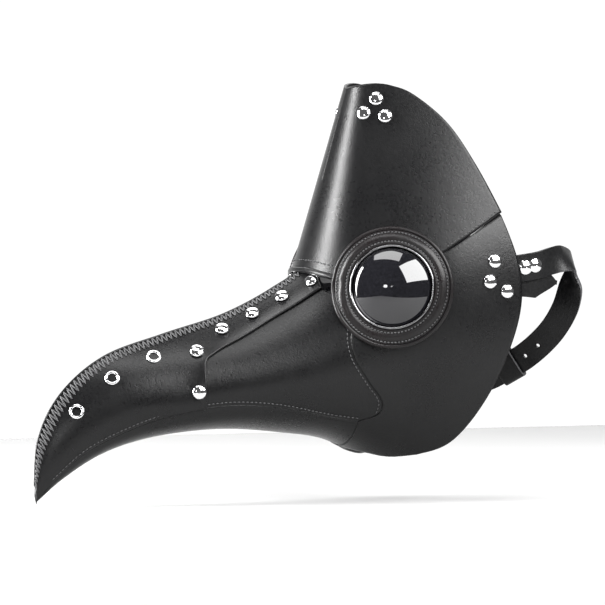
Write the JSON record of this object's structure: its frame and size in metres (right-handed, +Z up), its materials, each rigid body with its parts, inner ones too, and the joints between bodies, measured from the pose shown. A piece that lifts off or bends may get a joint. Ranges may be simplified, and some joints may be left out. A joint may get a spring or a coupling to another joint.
{
  "type": "plague doctor mask",
  "caption": "leather beaked mask with long curved beak, domed dark round eyes, riveted panels and rear straps with a small buckle",
  "frame": {"origin": "midway between the two eye centres, where the mask seats on the face", "axes": "+Z up, -Y forward along the beak, +X the wearer's left"},
  "size_m": [0.1538, 0.3756, 0.2732],
  "materials": {
    "shell_leather": "smooth black faux leather with a satin sheen",
    "eye_leather": "smooth black faux leather, stitched",
    "strap_leather": "black leather strap with cut edges",
    "nickel_fasteners": "polished nickel",
    "buckle_metal": "polished nickel wire",
    "bezel_metal": "gloss black with a bright inner edge",
    "lens": "very glossy black dome"
  },
  "bodies": {
    "root": {"back_strap": "strap_leather", "band_rivets": "nickel_fasteners", "buckle_fold_rivet": "nickel_fasteners", "buckle_strap": "strap_leather", "forehead_panel": "shell_leather", "left_beak_eyelets": "nickel_fasteners", "left_beak_front_panel": "shell_leather", "left_beak_rivets": "nickel_fasteners", "left_beak_side_panel": "shell_leather", "left_cheek_panel": "shell_leather", "left_eye_flange": "eye_leather", "left_eye_piping": "eye_leather", "left_forehead_rivets": "nickel_fasteners", "left_lens": "lens", "left_lens_bezel": "bezel_metal", "left_lens_retainer": "bezel_metal", "left_temple_rivets": "nickel_fasteners", "left_temple_tab": "strap_leather", "left_top_strap": "strap_leather", "left_top_strap_loop": "strap_leather", "right_beak_eyelets": "nickel_fasteners", "right_beak_front_panel": "shell_leather", "right_beak_rivets": "nickel_fasteners", "right_beak_side_panel": "shell_leather", "right_cheek_panel": "shell_leather", "right_eye_flange": "eye_leather", "right_eye_piping": "eye_leather", "right_forehead_rivets": "nickel_fasteners", "right_lens": "lens", "right_lens_bezel": "bezel_metal", "right_lens_retainer": "bezel_metal", "right_temple_rivets": "nickel_fasteners", "right_top_strap": "strap_leather", "right_top_strap_loop": "strap_leather", "top_loop_rivets": "nickel_fasteners"},
    "buckle_frame": {"buckle_frame": "buckle_metal"},
    "buckle_prong": {"buckle_prong": "buckle_metal"},
    "buckle_keeper": {"buckle_keeper": "strap_leather"}
  },
  "joints": [
    {"name": "buckle_swing", "type": "hinge", "parent": "root", "child": "buckle_frame", "pos_m": [-0.0663, 0.11636, -0.02159], "axis": [0, 0.5299, 0.848], "range_deg": [-90, 25]},
    {"name": "prong_lift", "type": "hinge", "parent": "buckle_frame", "child": "buckle_prong", "pos_m": [-0.0663, 0.11636, -0.02159], "axis": [0, 0.5299, 0.848], "range_deg": [0, 80]},
    {"name": "keeper_slide", "type": "slide", "parent": "root", "child": "buckle_keeper", "axis": [0, 0.848, -0.5299], "range_m": [0, 0.004]}
  ]
}
